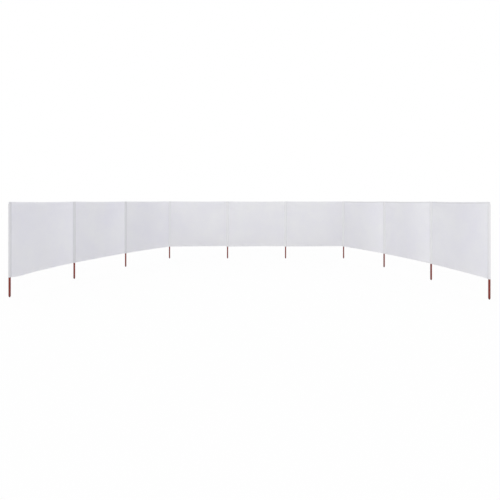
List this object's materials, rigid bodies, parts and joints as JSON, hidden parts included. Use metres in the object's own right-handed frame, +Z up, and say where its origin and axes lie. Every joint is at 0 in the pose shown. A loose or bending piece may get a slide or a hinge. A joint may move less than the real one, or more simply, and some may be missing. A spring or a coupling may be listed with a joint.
{
  "type": "beach windbreak",
  "caption": "Long cloth windbreak on round wooden poles with blunt points, set out as a back wall with a wing splayed forward at each end to shelter a patch of beach.",
  "frame": {"origin": "centre of the blunt lower end of the second pole of the back wall, which stands on the ground", "axes": "+X along the back wall to the right as seen from the sheltered side, +Y away from the sheltered side, +Z up along the poles"},
  "size_m": [5.996, 3.5366, 1.2],
  "materials": {
    "cloth": "plain-woven off-white polyester cloth, matt, a little light comes through",
    "pole_wood": "reddish-brown stained hardwood dowel, thin satin varnish"
  },
  "bodies": {
    "root": {"pole_1": "pole_wood", "pole_2": "pole_wood", "pole_3": "pole_wood", "pole_4": "pole_wood", "pole_5": "pole_wood", "pole_6": "pole_wood", "pole_7": "pole_wood", "pole_8": "pole_wood", "pole_9": "pole_wood", "pole_10": "pole_wood", "pole_pocket_1": "cloth", "pole_pocket_2": "cloth", "pole_pocket_3": "cloth", "pole_pocket_4": "cloth", "pole_pocket_5": "cloth", "pole_pocket_6": "cloth", "pole_pocket_7": "cloth", "pole_pocket_8": "cloth", "pole_pocket_9": "cloth", "pole_pocket_10": "cloth", "left_wing_panel_1": "cloth", "left_wing_panel_2": "cloth", "left_wing_panel_3": "cloth", "back_panel_1": "cloth", "back_panel_2": "cloth", "back_panel_3": "cloth", "right_wing_panel_1": "cloth", "right_wing_panel_2": "cloth", "right_wing_panel_3": "cloth"}
  },
  "joints": []
}
